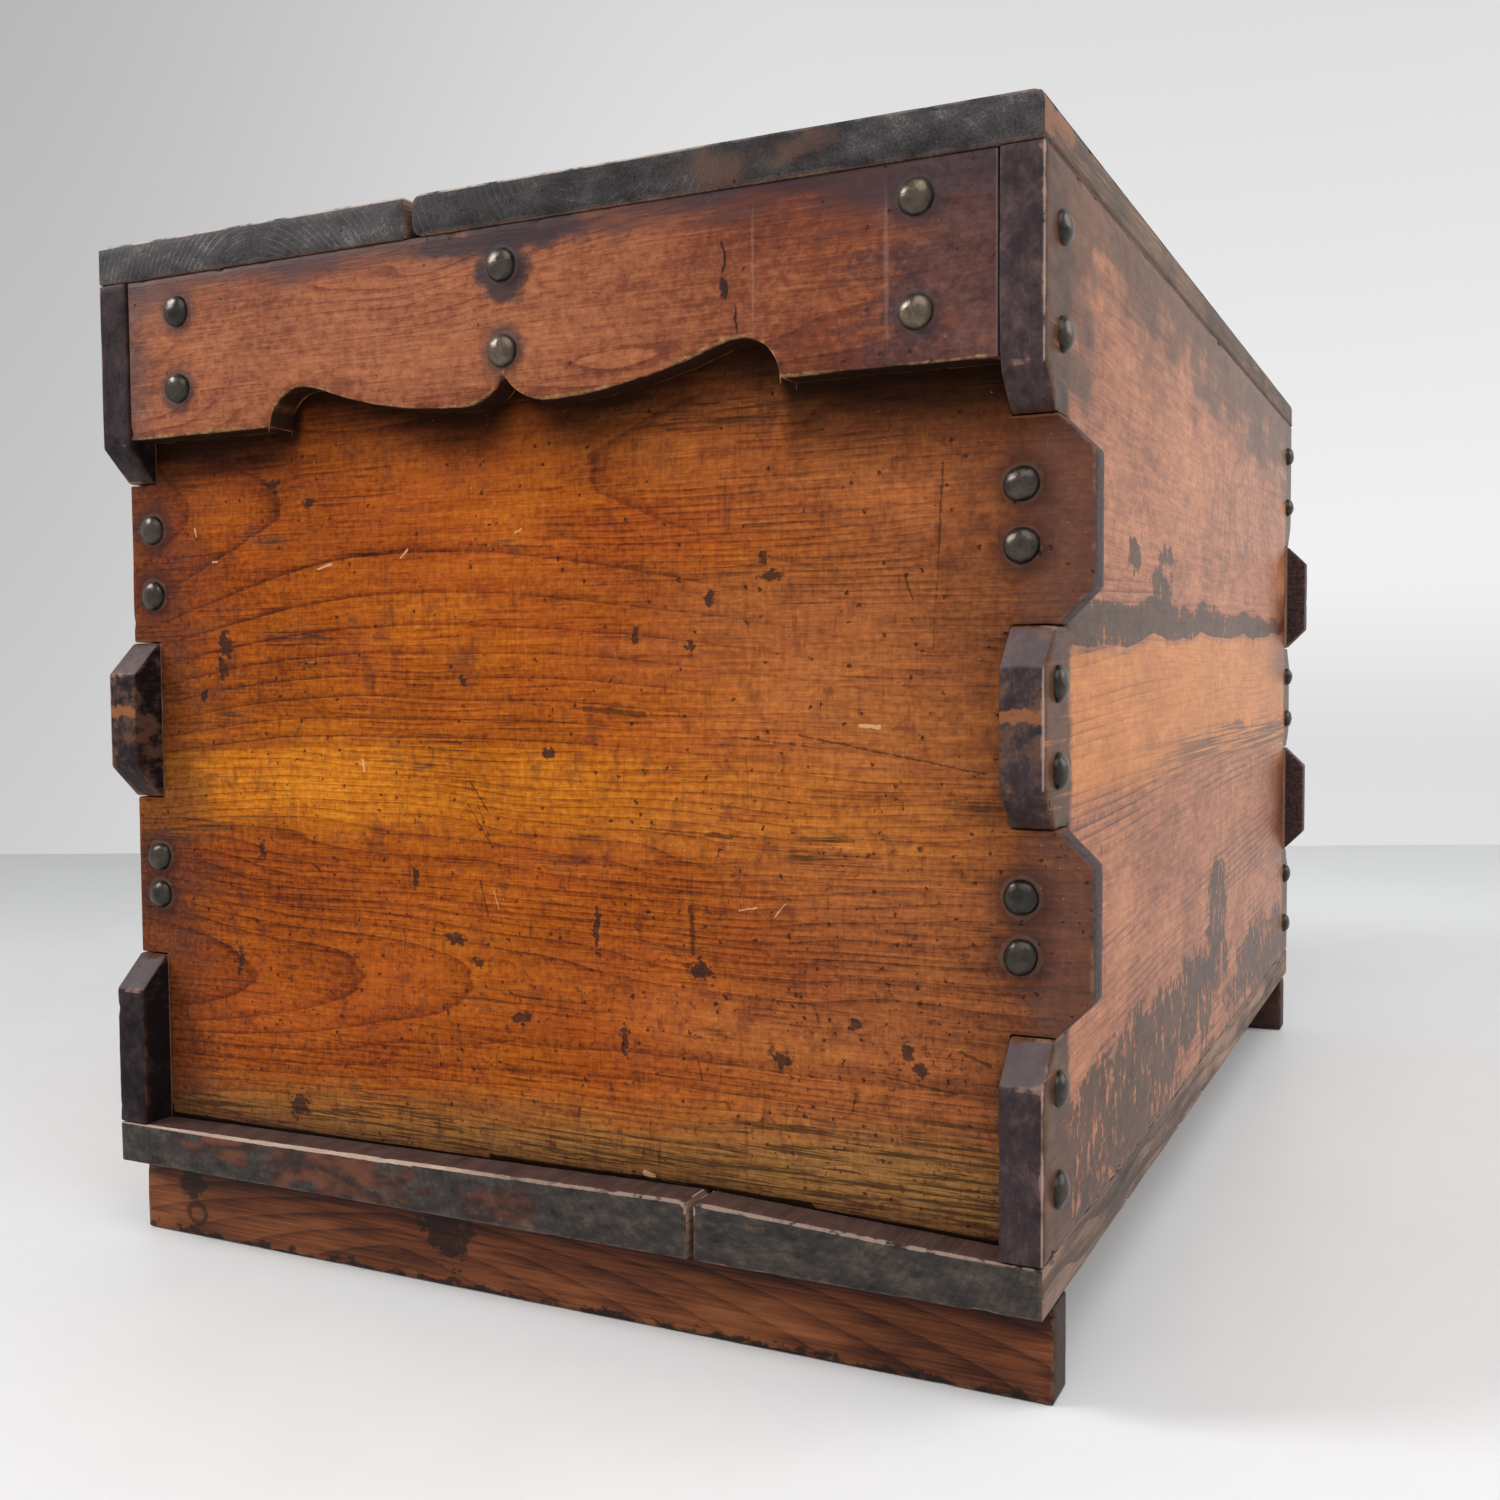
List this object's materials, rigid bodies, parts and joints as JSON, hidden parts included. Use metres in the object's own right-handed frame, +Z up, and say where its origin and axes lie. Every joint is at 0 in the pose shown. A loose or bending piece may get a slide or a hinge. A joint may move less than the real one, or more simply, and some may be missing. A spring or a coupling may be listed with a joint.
{
  "type": "storage chest",
  "caption": "Nailed wooden storage chest with proud corner fingers, shaped aprons on the ends, two board feet and a lift-off front lid plank.",
  "frame": {"origin": "on the floor, below the middle of the chest's bounding box", "axes": "+X along the chest towards the right end panel, front board and lid towards -Y, +Z up"},
  "size_m": [0.918, 0.5996, 0.6],
  "materials": {
    "side_board_wood": "worn lacquer over bare wood",
    "end_panel_wood": "aged amber lacquer, worn",
    "apron_wood": "reddish aged lacquer",
    "top_wood": "dark aged wood, open end grain",
    "bottom_wood": "dark aged wood, worn edges",
    "foot_wood": "reddish aged wood",
    "batten_wood": "bare aged wood",
    "nail_iron": "forged iron with dark patina"
  },
  "bodies": {
    "chest": {"front_board": "side_board_wood", "rear_board": "side_board_wood", "left_end_panel": "end_panel_wood", "right_end_panel": "end_panel_wood", "left_apron": "apron_wood", "right_apron": "apron_wood", "rear_top_plank": "top_wood", "front_bottom_plank": "bottom_wood", "rear_bottom_plank": "bottom_wood", "left_foot": "foot_wood", "right_foot": "foot_wood", "left_apron_nails": "nail_iron", "right_apron_nails": "nail_iron", "left_panel_nails": "nail_iron", "right_panel_nails": "nail_iron", "front_board_nails": "nail_iron", "rear_board_nails": "nail_iron", "rear_top_plank_nails": "nail_iron", "bottom_plank_nails": "nail_iron", "left_foot_nails": "nail_iron", "right_foot_nails": "nail_iron"},
    "lid": {"lid_plank": "top_wood", "left_lid_batten": "batten_wood", "right_lid_batten": "batten_wood", "lid_batten_nails": "nail_iron"}
  },
  "joints": [
    {"name": "lid_lift", "type": "slide", "parent": "chest", "child": "lid", "axis": [0, 0, 1], "range_m": [0, 0.3]}
  ]
}
